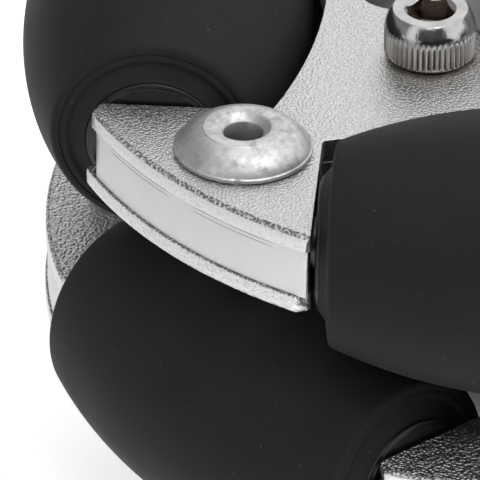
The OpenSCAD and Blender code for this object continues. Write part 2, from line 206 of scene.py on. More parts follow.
class Shader:
    """A material with one Principled shader, and short ways to add to it."""

    def __init__(self, name, **sockets):
        self.material = bpy.data.materials.new(name)
        self.material.use_nodes = True
        self.nodes = self.material.node_tree.nodes
        self.links = self.material.node_tree.links
        self.bsdf = self.nodes["Principled BSDF"]
        for socket, value in sockets.items():
            self.bsdf.inputs[socket.replace("_", " ")].default_value = value
        self.place = self.add("ShaderNodeTexCoord").outputs["Object"]
        self.normal = None

    def add(self, kind, **settings):
        node = self.nodes.new(kind)
        for key, value in settings.items():
            if hasattr(node, key):
                setattr(node, key, value)
            else:
                node.inputs[key.replace("_", " ")].default_value = value
        return node

    def noise(self, size, detail=2.0, stretch=(1, 1, 1), roughness=0.5, distortion=0.0):
        """Noise whose features are about size metres across."""
        node = self.add("ShaderNodeTexNoise", Scale=1 / size, Detail=detail,
                        Roughness=roughness, Distortion=distortion)
        self.links.new(self.stretched(stretch), node.inputs["Vector"])
        return node.outputs["Fac"]

    def stretched(self, stretch):
        if stretch == (1, 1, 1):
            return self.place
        mapping = self.add("ShaderNodeMapping", Scale=stretch)
        self.links.new(self.place, mapping.inputs["Vector"])
        return mapping.outputs["Vector"]

    def put(self, socket, value):
        """Sets a socket, or links it where value is another node's socket."""
        if isinstance(value, bpy.types.NodeSocket):
            self.links.new(value, socket)
        else:
            socket.default_value = value

    def span(self, source, low, high, out_low=0.0, out_high=1.0):
        """Source from low..high taken to out_low..out_high and held there."""
        node = self.add("ShaderNodeMapRange")
        for socket, value in (("Value", source), ("From Min", low), ("From Max", high),
                              ("To Min", out_low), ("To Max", out_high)):
            self.put(node.inputs[socket], value)
        return node.outputs["Result"]

    def blend(self, factor, a, b):
        """Colour a where factor is 0 and b where it is 1; either may be a socket."""
        node = self.add("ShaderNodeMix", data_type="RGBA")
        self.links.new(factor, node.inputs["Factor"])
        for socket, value in ((A_COLOR, a), (B_COLOR, b)):
            self.put(node.inputs[socket], (*value, 1) if isinstance(value, tuple) else value)
        return node.outputs[MIXED_COLOR]

    def painted_shade_mask(self, reach, low, high):
        """0 deep inside holes and grooves of about that reach, 1 on open surfaces; it sets where
        painted shade darkens a colour.
        """
        node = self.add("ShaderNodeAmbientOcclusion", samples=8, Distance=reach)
        return self.span(node.outputs["AO"], low, high)

    def pebbles(self, size):
        """Small domes about size metres apart: 1 on their tops and 0 between them."""
        node = self.add("ShaderNodeTexVoronoi", feature="SMOOTH_F1", Scale=1 / size,
                        Smoothness=0.4)
        self.links.new(self.place, node.inputs["Vector"])
        return self.span(node.outputs["Distance"], 0.05, 0.70, 1.0, 0.0)

    def level(self):
        """1 on level faces and 0 on upright ones."""
        normal = self.add("ShaderNodeSeparateXYZ")
        self.links.new(self.add("ShaderNodeNewGeometry").outputs["Normal"], normal.inputs[0])
        size = self.add("ShaderNodeMath", operation="ABSOLUTE")
        self.links.new(normal.outputs["Z"], size.inputs[0])
        return self.span(size.outputs[0], 0.4, 0.8)

    def on_flats(self, source, share):
        """Source at full strength on level faces and at that share on upright ones."""
        return self.times(source, self.span(self.level(), 0, 1, share, 1.0))

    def times(self, a, b):
        product = self.add("ShaderNodeMath", operation="MULTIPLY")
        self.links.new(a, product.inputs[0])
        self.links.new(b, product.inputs[1])
        return product.outputs[0]

    def color(self, socket):
        self.links.new(socket, self.bsdf.inputs["Base Color"])

    def rough(self, socket):
        self.links.new(socket, self.bsdf.inputs["Roughness"])

    def bump(self, height, depth, strength=1.0):
        """Adds relief of that depth in metres on top of what is there."""
        node = self.add("ShaderNodeBump", Strength=strength, Distance=depth)
        self.links.new(height, node.inputs["Height"])
        if self.normal:
            self.links.new(self.normal, node.inputs["Normal"])
        self.normal = node.outputs["Normal"]
        self.links.new(self.normal, self.bsdf.inputs["Normal"])


def grey(value, warm=0.0):
    """A grey; warm is how much red it gains, and blue it loses, as a share."""
    return (value * (1 + warm), value, value * (1 - warm))


def blasted(name, size, depth, dark, light, shade):
    """Bead-blasted sheet, pebbled; the sheared sides are smoother and evenly toned.
    Shade is the reach and the range of the painted shade, which darkens the sheet and fades its
    relief in recesses between other pieces."""
    s = Shader(name, Metallic=1.0)
    grain = s.noise(size, detail=2, roughness=0.6)
    pebbles = s.pebbles(size)
    tone = s.blend(s.span(pebbles, 0.15, 0.65), grey(dark), grey(light))
    tone = s.blend(s.span(grain, 0.35, 0.65, 0.0, 0.5), tone, grey((dark + light) / 2))
    side = s.blend(s.span(grain, 0.34, 0.50), grey(0.60), grey(0.77))
    tone = s.blend(s.level(), side, tone)
    # Painted shade: in recesses and between other pieces the sheet darkens to grey(0.12), and
    # its relief fades.
    lit = s.painted_shade_mask(*shade)
    s.color(s.blend(lit, grey(0.12), tone))
    s.rough(s.span(grain, 0.3, 0.7, 0.30, 0.44))
    s.bump(s.times(lit, s.on_flats(grain, 0.4)), depth)
    s.bump(s.times(lit, s.on_flats(pebbles, 0.1)), depth)
    return s


def blasted_aluminium():
    return blasted("blasted_aluminium", 0.26 * MM, 0.045 * MM, 0.62, 0.90,
                   (6 * MM, 0.02, 0.20))


def coarse_aluminium_painted_light():
    # The inner plates' sheet, coarser and deeper in grain: its brighter tone is painted light,
    # and its long shade reach paints shade on it under the rollers.
    return blasted("coarse_aluminium_painted_light", 0.34 * MM, 0.24 * MM, 0.82, 1.0,
                   (25 * MM, 0.08, 0.20))


def sheared_edge_with_painted_reflection():
    """The torn upper corner of a blanked rim, with bright specks of torn metal; its dark base is
    painted dark reflection and shade.
    """
    s = Shader("sheared_edge_with_painted_reflection", Metallic=0.75)
    torn = s.noise(0.24 * MM, detail=2, roughness=0.6)
    # Painted dark reflection and shade: the base is dark grey(0.24), with the torn metal's
    # bright specks on it.
    s.color(s.blend(s.span(torn, 0.46, 0.60), grey(0.24), grey(1.0)))
    s.rough(s.span(torn, 0.4, 0.6, 0.55, 0.30))
    s.bump(torn, 0.30 * MM)
    return s


def machined_aluminium():
    s = Shader("machined_aluminium", Metallic=1.0)
    fine = s.noise(0.15 * MM, detail=2, stretch=(1, 1, 0.25))
    cloud = s.noise(3 * MM, detail=2)
    tone = s.blend(s.span(cloud, 0.35, 0.65), grey(0.68), grey(0.70))
    # Painted shade: the spacer darkens to grey(0.1) in recesses, such as the slots' far walls.
    s.color(s.blend(s.painted_shade_mask(6 * MM, 0.02, 0.20), grey(0.1), tone))
    s.rough(s.span(fine, 0.3, 0.7, 0.36, 0.46))
    s.bump(fine, 0.006 * MM)
    return s


def rivet_aluminium():
    s = Shader("rivet_aluminium", Metallic=1.0)
    fine = s.noise(0.12 * MM, detail=3)
    scuff = s.noise(1.1 * MM, detail=5, roughness=0.7)
    tone = s.blend(s.span(scuff, 0.42, 0.66), grey(0.76), grey(0.50))
    # Painted shade: the colour darkens to grey(0.40) in the bore and other hollows.
    s.color(s.blend(s.painted_shade_mask(4 * MM, 0.30, 0.80), grey(0.40), tone))
    s.rough(s.span(scuff, 0.38, 0.65, 0.42, 0.58))
    s.bump(fine, 0.008 * MM)
    s.bump(scuff, 0.015 * MM)
    return s


def mandrel_steel():
    s = Shader("mandrel_steel", Metallic=1.0)
    torn = s.noise(0.35 * MM, detail=4)
    s.color(s.blend(s.span(torn, 0.35, 0.65), grey(0.06, 0.04), grey(0.22, 0.02)))
    s.rough(s.span(torn, 0.3, 0.7, 0.45, 0.7))
    s.bump(torn, 0.10 * MM)
    return s


def hub_aluminium():
    s = Shader("hub_aluminium", Metallic=0.6)
    turning = s.noise(0.06 * MM, detail=1, stretch=(0.05, 0.05, 1))
    cloud = s.noise(3 * MM, detail=2)
    s.color(s.blend(s.span(cloud, 0.35, 0.65), (0.80, 0.80, 0.82), (0.88, 0.88, 0.90)))
    s.rough(s.span(cloud, 0.3, 0.7, 0.44, 0.52))
    s.bump(turning, 0.0015 * MM)
    return s


def screw_steel():
    s = Shader("screw_steel", Metallic=1.0)
    fine = s.noise(0.10 * MM, detail=2)
    wrinkle = s.noise(0.35 * MM, detail=3, roughness=0.6)
    cloud = s.noise(1.2 * MM, detail=3)
    tone = s.blend(s.span(cloud, 0.35, 0.65), grey(0.52, 0.01), grey(0.64, 0.01))
    # Painted shade: the colour darkens in the knurl's valleys and the socket, and deep in the
    # socket it turns a dark brown.
    tone = s.blend(s.painted_shade_mask(0.5 * MM, 0.35, 0.85), grey(0.14), tone)
    s.color(s.blend(s.painted_shade_mask(4 * MM, 0.40, 0.80), (0.30, 0.265, 0.23), tone))
    s.rough(s.span(cloud, 0.3, 0.7, 0.10, 0.22))
    s.bump(fine, 0.0025 * MM)
    s.bump(wrinkle, 0.025 * MM)
    return s


def set_screw_steel():
    s = Shader("set_screw_steel", Metallic=1.0)
    cloud = s.noise(0.8 * MM, detail=3)
    s.color(s.blend(s.span(cloud, 0.35, 0.65), grey(0.05), grey(0.09)))
    s.rough(s.span(cloud, 0.3, 0.7, 0.35, 0.5))
    return s


def pin_steel():
    s = Shader("pin_steel", Metallic=1.0)
    fine = s.noise(0.10 * MM, detail=2)
    cloud = s.noise(2 * MM, detail=2)
    s.color(s.blend(s.span(cloud, 0.35, 0.65), grey(0.10), grey(0.16)))
    s.rough(s.span(fine, 0.3, 0.7, 0.26, 0.38))
    s.bump(fine, 0.002 * MM)
    return s


def bronze():
    s = Shader("bronze", Metallic=1.0)
    pores = s.noise(0.15 * MM, detail=3)
    s.color(s.blend(s.span(pores, 0.35, 0.6), (0.22, 0.13, 0.06), (0.50, 0.32, 0.15)))
    s.rough(s.span(pores, 0.3, 0.7, 0.6, 0.4))
    s.bump(pores, 0.01 * MM)
    return s


def core_plastic():
    s = Shader("core_plastic", Specular_IOR_Level=0.5)
    cloud = s.noise(0.6 * MM, detail=3)
    s.color(s.blend(s.span(cloud, 0.35, 0.65), grey(0.012), grey(0.022)))
    s.rough(s.span(cloud, 0.3, 0.7, 0.28, 0.40))
    s.bump(cloud, 0.01 * MM)
    return s


def rubber():
    s = Shader("rubber", Specular_IOR_Level=0.10)
    skin = s.noise(0.25 * MM, detail=3)
    cloud = s.noise(6 * MM, detail=3)
    dust = s.noise(0.40 * MM, detail=0)
    dark = s.blend(s.span(cloud, 0.35, 0.65), grey(0.035), grey(0.042))
    s.color(s.blend(s.span(dust, 0.84, 0.87, 0.0, 0.45), dark, grey(0.15)))
    s.rough(s.span(cloud, 0.3, 0.7, 0.50, 0.62))
    s.bump(skin, 0.012 * MM)
    return s


MATERIALS = {make.__name__: make().material for make in (
    blasted_aluminium, coarse_aluminium_painted_light, sheared_edge_with_painted_reflection, machined_aluminium, rivet_aluminium,
    mandrel_steel, hub_aluminium, screw_steel, set_screw_steel, pin_steel, bronze,
    core_plastic, rubber)}

for part in frame["record"]["subparts"]:
    node = frame["nodes"][part["node"]]
    node.data.materials.clear()
    node.data.materials.append(MATERIALS[part["material_slot"]])


# ---- plates ----------------------------------------------------------------

side_gap = 0.35 * MM                      # between a roller's core and its slot's sides
floor_gap = 1.3 * MM                      # between its tread and the slot's floor
slot_half = core_len / 2 + side_gap       # half the width of a slot
slot_floor = pin_circle_r - roller_r - floor_gap
slot_floor_r = 62.8 * MM
slot_fillet = 0.5 * MM
plate_tips = (1.0 * MM, 0.35 * MM)        # blunter and keener tip of each lobe
spacer_tips = (1.2 * MM, 0.15 * MM)
tip_taper = 0.6                           # a tip draws in by this share of its radius
TIP_CURVE = 0.9                           # and nearly evenly from one face to the other
spacer_set_back = 0.2 * MM
seat_gap = 0.05 * MM                      # round a pin in its seat
seat_end_gap = 0.2 * MM                   # and past the pin's end
seat_w = 2 * (pin_r + seat_gap)
seat_half = extent(ON_X.format("pin"), Y) / 2 + seat_end_gap
boss_hole_r = 10.1 * MM
rivet_inset = 8.2 * MM                    # from the plates' rim to the middle of a rivet
rivet_circle_r = plate_r - rivet_inset
rivet_hole_r = 3.25 * MM
screw_circle_r = 16.15 * MM
screw_turn = math.radians(-5.8)
screw_hole_r = 2.75 * MM
access_r = 3.9 * MM
rim_edge_r = 0.36 * MM                    # rounding of the rim on a row's outer faces
EDGE_STEEP = 1.6                          # that rounding is higher than it is wide
slot_edge_r = 0.09 * MM                   # of the slots' edges
seam_edge_r = 0.10 * MM                   # and of every edge against the spacer
hole_edge_r = 0.10 * MM
guard = 0.03 * MM                         # a narrow flat ring beside each rounding
rim_guard = 0.25 * MM                     # added to it along the rim
seam_grooves_z = (0.16 * MM, 0.58 * MM)   # fine grooves this far under the spacer's edge
GROOVE = (                                # each ring's drop below there, and its depth
    (-0.03 * MM, 0), (0, 0), (0.03 * MM, 0.06 * MM), (0.07 * MM, 0.06 * MM),
    (0.10 * MM, 0), (0.13 * MM, 0))


def wear(angle):
    """How deep a groove is there, from 0 to 1: two waves make it come and go."""
    waves = 0.5 * math.sin(21 * angle) + 0.4 * math.sin(50 * angle + 1)
    return min(1.0, max(0.0, 0.55 + waves))


def slot_outline(set_back, tips, blunt_side, seat_end):
    """One slot opening along +X, from its clockwise tip round the floor to its
    anticlockwise one, as (x, y, normal x, normal y, share, taper): normals point out of
    the metal, share runs from 0 on the slot's side to 1 on the rim, and taper is how far
    a tip draws in towards the spacer. Set_back is how far the edges lie inside a sheet
    plate's, and seat_end, where it isn't 0, is how far out the seats of the pin reach."""
    rim, half = plate_r - set_back, slot_half + set_back
    arc_x = slot_floor - set_back + slot_floor_r
    fillet_y = half - slot_fillet
    fillet_x = arc_x - math.sqrt((slot_floor_r - slot_fillet) ** 2 - fillet_y ** 2)
    lean = math.atan2(fillet_y, arc_x - fillet_x)

    def bend(cx, cy, r, start, end, steps, hollow=False):
        out = []
        for (x, y), t in zip(arc(cx, cy, r, start, end, steps),
                             (i / steps for i in range(steps + 1))):
            sign = -1 if hollow else 1
            out.append((x, y, sign * (x - cx) / r, sign * (y - cy) / r,
                        0 if hollow else t, 0 if hollow else tip_taper * r * 4 * t * (1 - t)))
        return out

    def tip(side):
        r = tips[0] if side == blunt_side else tips[1]
        cx, cy = math.sqrt((rim - r) ** 2 - (half + r) ** 2), half + r
        return bend(cx, cy, r, -math.pi / 2, math.atan2(cy, cx), steps=12)

    def mirrored(points):
        return [(x, -y, nx, -ny, *rest) for x, y, nx, ny, *rest in points[::-1]]

    floor = bend(arc_x, 0, slot_floor_r, math.pi + lean, math.pi - lean, steps=32,
                 hollow=True)
    corner = bend(fillet_x, fillet_y, slot_fillet, math.pi - lean, math.pi / 2, steps=6,
                  hollow=True)
    seat = []
    if seat_end:
        low, high = pin_circle_r - seat_w / 2, pin_circle_r + seat_w / 2
        seat = [(low, half, 1, -1, 0, 0), (low, seat_end, 1, -1, 0, 0),
                (high, seat_end, -1, -1, 0, 0), (high, half, -1, -1, 0, 0)]
    return (mirrored(tip(-1)) + mirrored(seat) + mirrored(corner) + floor[1:-1]
            + corner + seat + tip(1))


def outline(set_back, tips, blunt_side, seat_end=0.0, rim_steps=40):
    """A plate's whole outline, anticlockwise."""
    points = []
    rim = plate_r - set_back
    slot = slot_outline(set_back, tips, blunt_side, seat_end)
    start, end = (math.atan2(p[1], p[0]) for p in (slot[-1], slot[0]))
    for k in range(LOBES):
        turn = FIRST_ROLLER + k * PITCH
        c, s = math.cos(turn), math.sin(turn)
        points += [(x * c - y * s, x * s + y * c, nx * c - ny * s, nx * s + ny * c, *rest)
                   for x, y, nx, ny, *rest in slot]
        points += [(x, y, x / rim, y / rim, 1, 0)
                   for x, y in arc(0, 0, rim, turn + start, turn + PITCH + end, rim_steps)[1:-1]]
    return points


def hole_outline(centre_r, angle, r, steps=72):
    """A round hole, in the form that slot_outline gives, as if it were all rim."""
    cx, cy = centre_r * math.cos(angle), centre_r * math.sin(angle)
    turns = (2 * math.pi * i / steps for i in range(steps))
    return [(cx + r * math.cos(a), cy + r * math.sin(a), -math.cos(a), -math.sin(a), 1, 0)
            for a in turns]


def edge_rings(points, z_low, z_high, low, high, grooves=(), seam_below=True, steps=5):
    """Rings down the edge of a plate. Low and high are the rounding's width on the
    slots' sides and on the rim, and what the tips add to it as a share of their taper;
    each ends in a guard that keeps the faces' shading flat. Grooves are how far under
    the upper edge the fine grooves run. The tips draw in towards the spacer, which lies
    below the plate or, without seam_below, above it."""
    rounds = [(1 - math.sin(a), 1 - math.cos(a))
              for a in (i * math.pi / 2 / steps for i in range(steps + 1))]

    def ring(rounding, across, down, z, sign, extra=0.0, groove=0.0):
        """Across and down are where the ring lies on its rounding, from 0 to 1."""
        on_slot, on_rim, at_tip = rounding
        out = []
        for x, y, nx, ny, share, taper in points:
            width = on_slot + (on_rim - on_slot) * share + at_tip * taper
            height = z + sign * width * down * (EDGE_STEEP if at_tip else 1)
            depth = (height - z_low) / (z_high - z_low)
            drawn = taper * (1 - depth if seam_below else depth) ** TIP_CURVE
            inset = width * across + extra + drawn + groove * wear(math.atan2(y, x))
            if extra and not taper and share:
                inset += rim_guard
            out.append((x - nx * inset, y - ny * inset, height))
        return out

    rings = [ring(high, 1, 0, z_high, -1, guard)]
    rings += [ring(high, across, down, z_high, -1) for across, down in rounds]
    for down in grooves:
        for drop, back in GROOVE:
            rings.append(ring(high, 0, 0, z_high - down - drop, -1, groove=back))
    rings += [ring(low, across, down, z_low, 1) for across, down in rounds[::-1]]
    return rings + [ring(low, 1, 0, z_low, 1, guard)]


def plate_part(edges):
    """A sheet part from the rings down each of its edges, the first ring on top."""
    bm = bmesh.new()
    tops, bottoms = [], []
    for edge in edges:
        rings = [[bm.verts.new(point) for point in ring] for ring in edge]
        for a, b in zip(rings, rings[1:]):
            for i in range(len(a)):
                bm.faces.new((a[i - 1], a[i], b[i], b[i - 1]))
        for ring, face in ((rings[0], tops), (rings[-1], bottoms)):
            face += [bm.edges.get((ring[i - 1], ring[i])) for i in range(len(ring))]
    for face in (tops, bottoms):
        bmesh.ops.triangle_fill(bm, use_beauty=True, use_dissolve=False, edges=face)
    bm.verts.index_update()
    part = ([v.co.copy() for v in bm.verts], [tuple(v.index for v in f.verts) for f in bm.faces])
    bm.free()
    return part


holes = [(0, 0, boss_hole_r)]             # distance from the axle, angle and radius
for a in lobe_angles():
    holes += [(rivet_circle_r, a, rivet_hole_r), (screw_circle_r, a + screw_turn, screw_hole_r),
              (screw_circle_r, a + screw_turn - PITCH / 2, access_r)]


def sheet_part(z_low, z_high, points, low, high, grooves=(), seam_below=True):
    """One plate with its holes, from its outline."""
    bevel = (hole_edge_r, hole_edge_r, 0)
    edges = [edge_rings(points, z_low, z_high, low, high, grooves, seam_below)]
    return plate_part(edges + [edge_rings(hole_outline(*hole), z_low, z_high, bevel, bevel,
                                          steps=3) for hole in holes])


# Each edge: its rounding on the slots' sides and on the rim, and what the tips add.
face_edge = (slot_edge_r, rim_edge_r, 0.7)
seam_edge = (seam_edge_r, seam_edge_r, 0)
spacer_low_edge = (0.05 * MM, 0.08 * MM, 0)
spacer_high_edge = (0.05 * MM, 0.05 * MM, 0)
seam_z = face_z - plate_t
outer_part = sheet_part(seam_z, face_z, outline(0, plate_tips, 1), seam_edge, face_edge)
inner_part = sheet_part(-face_z, -seam_z, outline(0, plate_tips, -1), face_edge, seam_edge,
                        seam_below=False)
spacer_part = sheet_part(-seam_z, seam_z, outline(spacer_set_back, spacer_tips, 1, seat_half),
                         spacer_low_edge, spacer_high_edge, seam_grooves_z)
for row in ROWS:
    add_piece(f"{row}_spacer_plate_edged", copies(spacer_part, [row_matrix(row)]), "frame",
              "machined_aluminium", [f"{row}_spacer_plate"])


torn_margin = 0.06 * MM                   # the torn edge, dark with painted reflection and shade, reaches this far past the rounding
TORN_FROM, LEDGE_FROM = 0.12, 0.985       # upward part of the normal of a torn or level face
OUTWARD = 0.9                             # part of its level direction that points outwards


def torn_rim_painted_dark(on_ledge):
    """Tells the faces of a plate's upper rim corner, where the shearing tore it, and with
    on_ledge those of the narrow level ledge inside it too. These take the torn edge's material,
    whose dark base is painted reflection and shade."""
    def test(centre, normal):
        reach, side = math.hypot(centre.x, centre.y), math.hypot(normal.x, normal.y)
        if reach < plate_r - rim_edge_r - torn_margin or normal.z < TORN_FROM:
            return False
        if normal.z > LEDGE_FROM:
            return on_ledge
        return centre.x * normal.x + centre.y * normal.y > OUTWARD * reach * side
    return test


for row in ROWS:
    for side, part, look in (("outer", outer_part, "blasted_aluminium"),
                             ("inner", inner_part, "coarse_aluminium_painted_light")):
        seam_up = (row == "upper") == (side == "inner")
        add_piece(f"{row}_{side}_plate_rounded", copies(part, [row_matrix(row)]), "frame",
                  "blasted_aluminium", [f"{row}_{side}_plate"], look=look,
                  torn=torn_rim_painted_dark(on_ledge=seam_up))


# ---- rivets ----------------------------------------------------------------

rivet_head_r = 6.45 * MM
rivet_flat_r = 3.7 * MM
rivet_sink_r = 2.6 * MM
rivet_bore_r = 1.85 * MM
rivet_shank_r = 3.2 * MM
rivet_bulb_r = 4.7 * MM
rivet_head_h = 2.5 * MM
rivet_rim_h = 0.56 * MM                   # thickness of the head at its rim
rivet_brim = 0.20 * MM                    # a thin brim round the flank
rivet_ring_h = 0.05 * MM                  # the flat ring stands this far above the flank
rivet_start = math.radians(15)            # slope of the flank beside the ring
bulb_round = 1.3 * MM                     # rounding of the blind side
RIVET_SIDES = 144
ragged_depth = 0.05 * MM                  # the brim's edge wavers by up to this much
NICKS, nick_depth = (17, 18, 61), 0.16 * MM    # the sides where it is chipped


def rivet_flank(top):
    """The rounded flank of the head, one arc from beside the flat ring to the brim."""
    ring_x, ring_z = rivet_flat_r + 0.06 * MM, top - rivet_ring_h
    rim_x, rim_z = rivet_head_r - rivet_brim, face_z + rivet_rim_h
    chord = math.atan2(ring_z - rim_z, rim_x - ring_x)
    stop = 2 * chord - rivet_start        # slope where the flank meets the brim
    flank_r = (rim_x - ring_x) / (math.sin(stop) - math.sin(rivet_start))
    return arc(ring_x - flank_r * math.sin(rivet_start),
               ring_z - flank_r * math.cos(rivet_start),
               flank_r, math.pi / 2 - rivet_start, math.pi / 2 - stop, 22)


def rivet_profile():
    """Up the bore, over the head, down the shank and round the blind side: closed."""
    f, top, foot = face_z, face_z + rivet_head_h, rivet_foot
    bore_and_ring = [
        (rivet_bore_r, foot + 1.8 * MM), (rivet_bore_r, 0),
        (rivet_bore_r, top - 0.72 * MM), (rivet_bore_r + 0.04 * MM, top - 0.64 * MM),
        (rivet_bore_r + 0.14 * MM, top - 0.56 * MM),
        (rivet_sink_r - 0.20 * MM, top - 0.12 * MM), (rivet_sink_r - 0.05 * MM, top - 0.03 * MM),
        (rivet_sink_r + 0.08 * MM, top), (rivet_flat_r - 0.03 * MM, top),
        (rivet_flat_r + 0.01 * MM, top - 0.01 * MM)]
    brim_and_shank = [
        (rivet_head_r - 0.05 * MM, f + rivet_rim_h - 0.05 * MM),
        (rivet_head_r, f + rivet_rim_h - 0.10 * MM),
        (rivet_head_r, f + 0.20 * MM), (rivet_head_r - 0.08 * MM, f + 0.07 * MM),
        (rivet_head_r - 0.22 * MM, f),
        (rivet_shank_r, f), (rivet_shank_r, -f), (rivet_bulb_r - 0.5 * MM, -f)]
    bulb_x, bulb_z = rivet_bulb_r - bulb_round, (foot - f) / 2
    bulb = [(bulb_x + bulb_round * math.cos(a), bulb_z + (f + foot) / 2 * math.sin(a))
            for a in (math.pi * (i / 12 - 0.35) for i in range(1, 10))]
    mouth = [(bulb_x, foot), (rivet_bore_r + 0.9 * MM, foot),
             (rivet_bore_r + 0.9 * MM, foot + 0.9 * MM)]
    return bore_and_ring + rivet_flank(top) + brim_and_shank + bulb + mouth


def rivet_part():
    """A set blind rivet; the edge of its brim is ragged."""
    points, faces = revolve(rivet_profile(), RIVET_SIDES, closed=True)
    ragged = random.Random(5)
    cuts = [ragged.uniform(0, ragged_depth) for _ in range(RIVET_SIDES)]
    for nick in NICKS:
        cuts[nick] = nick_depth
    for p in points:
        r = math.hypot(p.x, p.y)
        if r > rivet_head_r - rivet_brim / 2:
            side = round(math.atan2(p.y, p.x) / math.tau * RIVET_SIDES) % RIVET_SIDES
            left = (r - cuts[side]) / r
            p.x, p.y = p.x * left, p.y * left
    return points, faces


rivets = copies(rivet_part(), [at_angle(a, rivet_circle_r) for a in lobe_angles()])
for row in ROWS:
    add_piece(f"{row}_rivets_smooth", copies(rivets, [row_matrix(row)]), "frame",
              "rivet_aluminium", [f"{row}_rivets"], crease=28)


# ---- socket head cap screws ------------------------------------------------

head_r = 4.25 * MM
head_side_z = 2.9 * MM                    # where the straight side turns into the shoulder
head_flat_r = 3.5 * MM
foot_bevel = 0.6 * MM
thread_r = 2.5 * MM
thread_bevel = 0.6 * MM
key_half = 2.0 * MM                       # half the socket's width across flats
key_turn = math.radians(15)
mouth_r = 2.4 * MM
mouth_slope = 0.9                         # fall of the socket's mouth towards its flats
socket_depth = 2.5 * MM
socket_point = 0.8 * MM                   # the drill's point below the flats
RIDGES, RIDGE_SIDES = 48, 9               # ridges of the knurl, and faces on each
SCREW_SIDES = RIDGES * RIDGE_SIDES
ridge_depth = 0.22 * MM
ridge_fade = 0.7 * MM                     # height over which the ridges run out
SHOULDER_STEPS = 10


def hexagon(angle):
    """Distance from the socket's axis to its wall in that direction."""
    off = (angle - key_turn) % (math.pi / 3) - math.pi / 6
    return key_half / math.cos(off)


def knurl(depth):
    """How far each side of the head is drawn in: flat crests and sharp valleys."""
    along = (i % RIDGE_SIDES / RIDGE_SIDES for i in range(SCREW_SIDES))
    return [depth * (1 - min(1.0, 1.15 * (1 - abs(2 * t - 1)))) for t in along]


def screw_rings():
    """From the thread's end up over the head and down the socket; each ring is the
    radius and the height of every side."""
    head_h, length = screw_top - face_z, face_z - screw_foot
    rise, draw_in = head_h - head_side_z, head_r - head_flat_r
    shoulder_r = (rise ** 2 + draw_in ** 2) / (2 * draw_in)
    rings = []

    def ring(r, z, ridges=0.0):
        rings.append(([r - cut for cut in knurl(ridges)], [face_z + z] * SCREW_SIDES))

    ring(thread_r - thread_bevel, -length)
    ring(thread_r, thread_bevel - length)
    ring(thread_r, 0)
    ring(head_r - foot_bevel - 0.05 * MM, 0)
    ring(head_r - foot_bevel, 0.02 * MM)
    ring(head_r - 0.14 * MM, foot_bevel - 0.12 * MM)
    ring(head_r - 0.03 * MM, foot_bevel, 0.3 * ridge_depth)
    ring(head_r, foot_bevel + 0.12 * MM, 0.85 * ridge_depth)
    ring(head_r, foot_bevel + 0.25 * MM, ridge_depth)
    ring(head_r, head_side_z - 0.25 * MM, ridge_depth)
    for i in range(SHOULDER_STEPS + 1):
        up = rise * i / SHOULDER_STEPS
        r = head_r - shoulder_r + math.sqrt(shoulder_r ** 2 - up ** 2)
        left = max(0.0, 1 - (up + 0.1 * MM) / ridge_fade)
        edge = 0.03 * MM if i == SHOULDER_STEPS else 0
        ring(r, head_side_z + up - edge, ridge_depth * left ** 1.5)
    ring(head_flat_r - 0.03 * MM, head_h)
    ring(mouth_r + 0.03 * MM, head_h)
    ring(mouth_r, head_h - 0.02 * MM)
    walls = [hexagon(math.tau * i / SCREW_SIDES) for i in range(SCREW_SIDES)]
    rings.append((walls, [screw_top - (mouth_r - wall) * mouth_slope for wall in walls]))
    rings.append((walls, [screw_top - socket_depth] * SCREW_SIDES))
    return rings


def screw_part():
    """A cap screw, closed at both ends by a point on its axis."""
    points, faces, loops = [Vector((0, 0, screw_foot))], [], []
    turns = [math.tau * i / SCREW_SIDES for i in range(SCREW_SIDES)]
    for radii, heights in screw_rings():
        loops.append(range(len(points), len(points) + SCREW_SIDES))
        points += [Vector((r * math.cos(a), r * math.sin(a), z))
                   for r, z, a in zip(radii, heights, turns)]
    points.append(Vector((0, 0, screw_top - socket_depth - socket_point)))
    loops = [[0]] + loops + [[len(points) - 1]]
    for a, b in zip(loops, loops[1:]):
        faces += between(a, b, SCREW_SIDES)
    return points, faces


screws = copies(screw_part(), [at_angle(a + screw_turn, screw_circle_r)
                               for a in lobe_angles()])
for row in ROWS:
    add_piece(f"{row}_cap_screws", copies(screws, [row_matrix(row)]), "frame",
              "screw_steel", [f"{row}_screws"], crease=25)


# ---- rollers ---------------------------------------------------------------

shoulder_len = 0.9 * MM
rim_r = 0.9 * MM
tread_half = tread_over / 2 - shoulder_len
bead_w, bead_h = 1.2 * MM, 0.22 * MM      # the moulded bead round each end of a barrel
bead_drop = 0.12 * MM                     # its foot lies this far inside the barrel's rim
lip_w = 0.20 * MM                         # width of the rubber's thin end on the core
key_depth, key_w = 0.8 * MM, 3 * MM       # groove round the core that the rubber fills
key_z = tread_half - 11.9 * MM            # and how far from the middle it is
bush_r, bush_len = 4.0 * MM, 9.0 * MM
bore_gap = 0.6 * MM                       # between the pin and the core
core_edge, core_slope = 0.25 * MM, 0.5 * MM    # bevel and slope of the core's end face
slope_drop = 0.07 * MM                    # fall of that slope
TREAD_SIDES, CORE_SIDES = 160, 128


